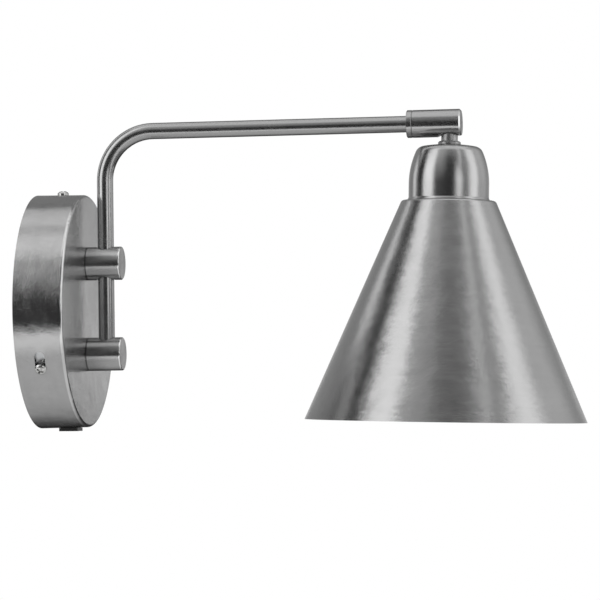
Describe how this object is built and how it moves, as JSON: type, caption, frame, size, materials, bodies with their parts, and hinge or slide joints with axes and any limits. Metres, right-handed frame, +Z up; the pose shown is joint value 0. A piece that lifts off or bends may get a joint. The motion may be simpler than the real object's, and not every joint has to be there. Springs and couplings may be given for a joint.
{
  "type": "bedside wall reading lamp",
  "caption": "Wall reading lamp: round cover with a switch, a bent tube arm that swings, and a conical shade that rolls on the arm's end.",
  "frame": {"origin": "centre of the cover's wall face, midway between the two wall screws", "axes": "+X out of the wall, +Z up, +Y to the left of a person who faces the wall"},
  "size_m": [0.334, 0.17, 0.1914],
  "materials": {
    "brushed_nickel": "dark brushed nickel plate",
    "nickel_screws": "nickel plated",
    "zinc_steel": "zinc plated",
    "spring_steel": "spring steel",
    "black_switch": "moulded, satin",
    "black_holder": "moulded thermoset",
    "heatproof_insert": "moulded, matt",
    "nylon": "natural nylon",
    "rubber_grommet": "soft, matt",
    "terminal_nylon": "moulded",
    "brass": "plain",
    "wire_brown": "insulation",
    "wire_blue": "insulation",
    "wire_earth": "green insulation",
    "flex_sheath": "round sheath",
    "bulb_opal": "opal glass",
    "bulb_cap_metal": "rolled cap",
    "bulb_insulation": "vitrified insulation",
    "bulb_tip": "soldered tip"
  },
  "bodies": {
    "root": {"canopy_cover": "brushed_nickel", "wall_bracket": "zinc_steel", "cable_grommet": "rubber_grommet", "cover_screws": "nickel_screws", "boss_upper": "brushed_nickel", "boss_lower": "brushed_nickel", "boss_washers": "zinc_steel", "boss_nuts": "zinc_steel", "upper_bush": "nylon", "lower_bush": "nylon", "swing_grub_screw": "zinc_steel", "switch_housing": "black_switch", "switch_terminals": "brass", "terminal_block": "terminal_nylon", "terminal_screws": "brass", "terminal_fixing_screw": "zinc_steel", "earth_screw": "zinc_steel", "earth_tag": "brass", "earth_lead": "wire_earth", "live_lead": "wire_brown", "switched_lead": "wire_brown", "neutral_lead": "wire_blue", "canopy_flex": "flex_sheath"},
    "arm": {"arm_tube": "brushed_nickel", "arm_flex": "flex_sheath", "swivel_nut": "zinc_steel", "friction_washers": "nylon"},
    "head": {"gland_ring": "brushed_nickel", "swivel_barrel": "brushed_nickel", "wave_washer": "spring_steel", "head_flex": "flex_sheath", "neck_nipple": "brushed_nickel", "neck_washer": "brushed_nickel", "nipple_locknut": "zinc_steel", "holder_cup": "brushed_nickel", "shade": "brushed_nickel", "holder_cap": "black_holder", "holder_skirt": "black_holder", "holder_insert": "heatproof_insert", "holder_shell": "brass", "holder_contact": "brass", "shade_ring": "black_holder", "bulb_cap": "bulb_cap_metal", "bulb_insulator": "bulb_insulation", "bulb_contact": "bulb_tip", "bulb_glass": "bulb_opal"},
    "rocker": {"switch_rocker": "black_switch"}
  },
  "joints": [
    {"name": "arm_swing", "type": "hinge", "parent": "root", "child": "arm", "pos_m": [0.041, 0, 0], "axis": [0, 0, 1], "range_deg": [-75, 75]},
    {"name": "head_roll", "type": "hinge", "parent": "arm", "child": "head", "pos_m": [0.254, 0, 0.1095], "axis": [1, 0, 0], "range_deg": [-80, 80]},
    {"name": "switch_rock", "type": "hinge", "parent": "root", "child": "rocker", "pos_m": [0.0178, 0, -0.06934], "axis": [1, 0, 0], "range_deg": [0, 14]}
  ]
}
